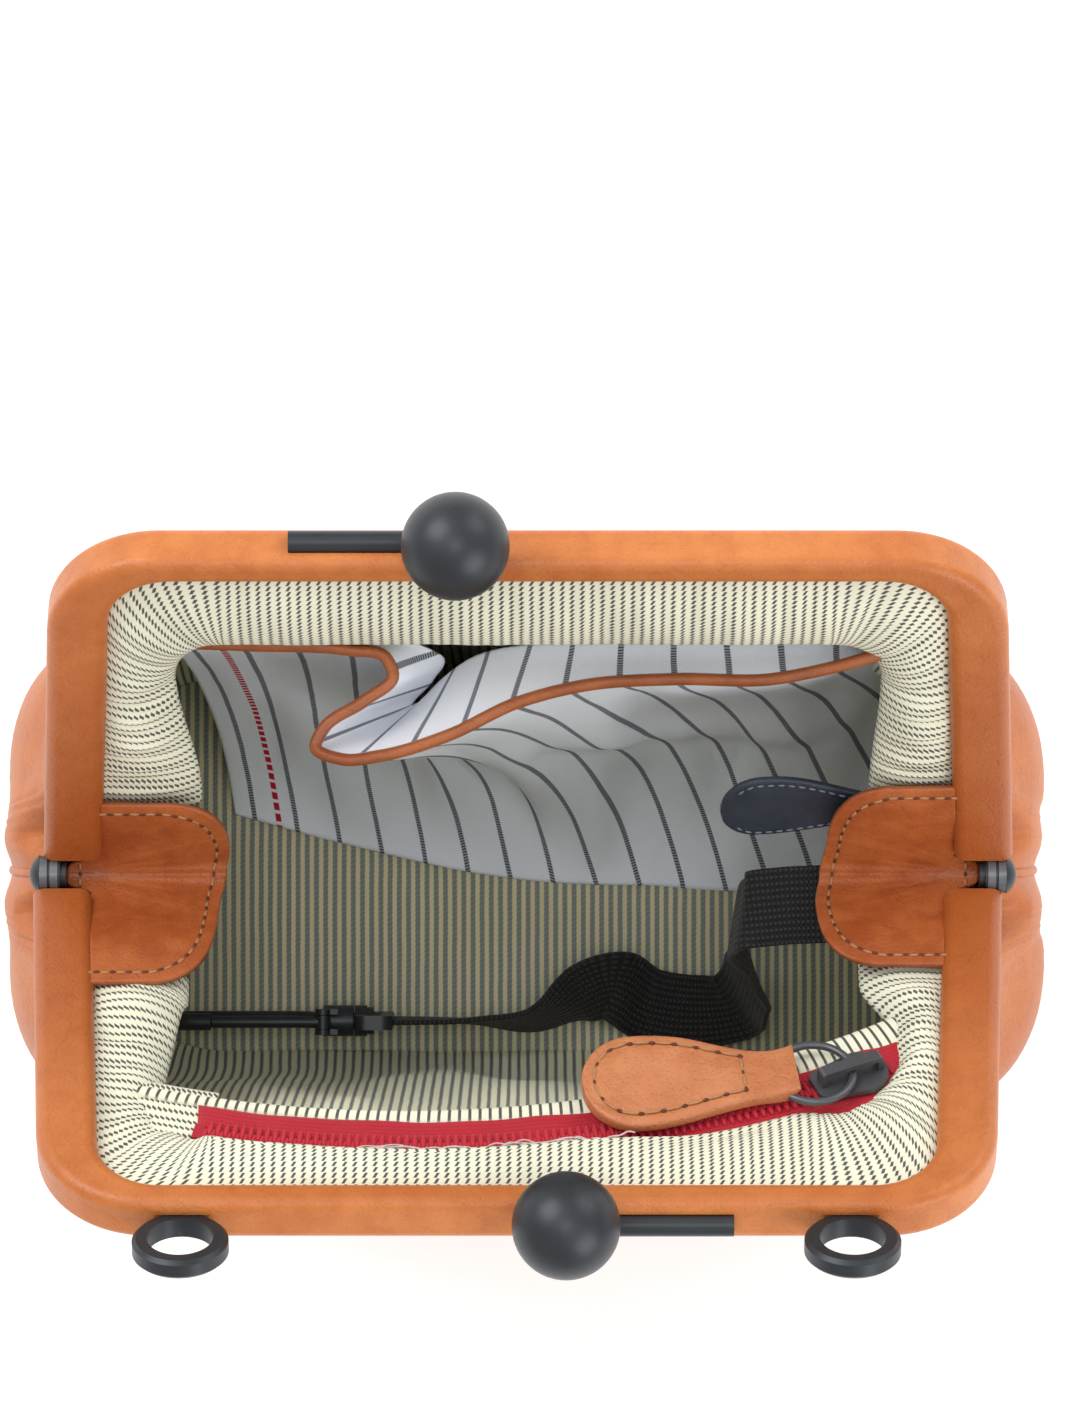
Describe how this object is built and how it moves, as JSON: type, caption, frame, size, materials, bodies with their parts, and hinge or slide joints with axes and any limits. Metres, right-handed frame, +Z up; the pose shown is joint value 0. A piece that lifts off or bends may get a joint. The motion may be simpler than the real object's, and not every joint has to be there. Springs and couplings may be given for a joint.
{
  "type": "kiss lock frame purse",
  "caption": "Leather frame purse standing open: two hinged frame halves with ball clasps and strap rings, striped lining, curved zip pocket, slip pocket and key leash.",
  "frame": {"origin": "middle of the base's underside, on the floor", "axes": "+Z up, +Y to the rear half, +X along the hinge axis to the purse's right"},
  "size_m": [0.201, 0.1388, 0.1622],
  "materials": {
    "frame_leather": "satin",
    "body_leather": "satin",
    "dark_metal": "satin",
    "strip_metal": "satin",
    "striped_lining": "matte",
    "pocket_cloth": "matte",
    "zip_red": "matte",
    "zip_coil": "satin",
    "black_webbing": "matte",
    "navy_leather": "satin"
  },
  "bodies": {
    "pouch": {"front_panel": "body_leather", "rear_panel": "body_leather", "base_panel": "body_leather", "front_lining": "striped_lining", "rear_lining": "striped_lining", "gusset_patch_left": "frame_leather", "gusset_patch_right": "frame_leather", "slip_pocket": "pocket_cloth", "pocket_binding": "frame_leather", "zip_pocket_bag": "pocket_cloth", "leash_webbing": "black_webbing", "side_tab": "navy_leather", "hook_swivel_loop": "dark_metal"},
    "front_frame": {"front_frame_strip": "strip_metal", "front_frame_casing": "frame_leather", "front_clasp_rod": "dark_metal", "front_clasp_ball": "dark_metal", "front_collar": "striped_lining", "strap_ring_left": "dark_metal", "strap_ring_right": "dark_metal", "hinge_rivets": "dark_metal", "hinge_washers": "dark_metal", "zip_tape_outer": "zip_red", "zip_tape_inner": "zip_red", "zip_coil_outer": "zip_coil", "zip_coil_inner": "zip_coil", "zip_stops": "dark_metal", "zip_lip": "striped_lining"},
    "rear_frame": {"rear_frame_strip": "strip_metal", "rear_frame_casing": "frame_leather", "rear_clasp_rod": "dark_metal", "rear_clasp_ball": "dark_metal", "rear_collar": "striped_lining"},
    "zip_slider": {"zip_slider": "dark_metal"},
    "pull_ring": {"zip_pull_ring": "dark_metal"},
    "pull_tab": {"zip_pull_tab": "frame_leather"},
    "snap_hook": {"snap_hook": "dark_metal", "hook_gate_pin": "dark_metal"},
    "hook_gate": {"hook_gate": "dark_metal"}
  },
  "joints": [
    {"name": "front_frame_hinge", "type": "hinge", "parent": "pouch", "child": "front_frame", "pos_m": [0, 0, 0.078], "axis": [1, 0, 0], "range_deg": [-42, 0]},
    {"name": "rear_frame_hinge", "type": "hinge", "parent": "pouch", "child": "rear_frame", "pos_m": [0, 0, 0.078], "axis": [-1, 0, 0], "range_deg": [-42, 0]},
    {"name": "zip_slide", "type": "hinge", "parent": "front_frame", "child": "zip_slider", "pos_m": [-0.0199, 0.08387, -0.02411], "axis": [0, -0.7431, -0.6691], "range_deg": [0, 26], "deforming": ["zip_coil_outer", "zip_coil_inner"]},
    {"name": "pull_ring_swing", "type": "hinge", "parent": "zip_slider", "child": "pull_ring", "pos_m": [0.06036, -0.0348, 0.11261], "axis": [-0.1178, 0.6645, -0.738], "range_deg": [0, 70]},
    {"name": "pull_tab_swing", "type": "hinge", "parent": "pull_ring", "child": "pull_tab", "pos_m": [0.04596, -0.03594, 0.11388], "axis": [-0.1178, 0.6645, -0.738], "range_deg": [0, 40]},
    {"name": "hook_swivel", "type": "hinge", "parent": "pouch", "child": "snap_hook", "pos_m": [-0.026, -0.031, 0.013], "axis": [-1, 0, 0], "continuous": true},
    {"name": "hook_gate_swing", "type": "hinge", "parent": "snap_hook", "child": "hook_gate", "pos_m": [-0.0399, -0.031, 0.0178], "axis": [0, -1, 0], "range_deg": [0, 17], "stiffness_Nm_per_rad": 0.02, "springref_deg": -11.46}
  ],
  "couplings": [
    {"joint": "rear_frame_hinge", "follows": "front_frame_hinge", "ratio": 1}
  ]
}
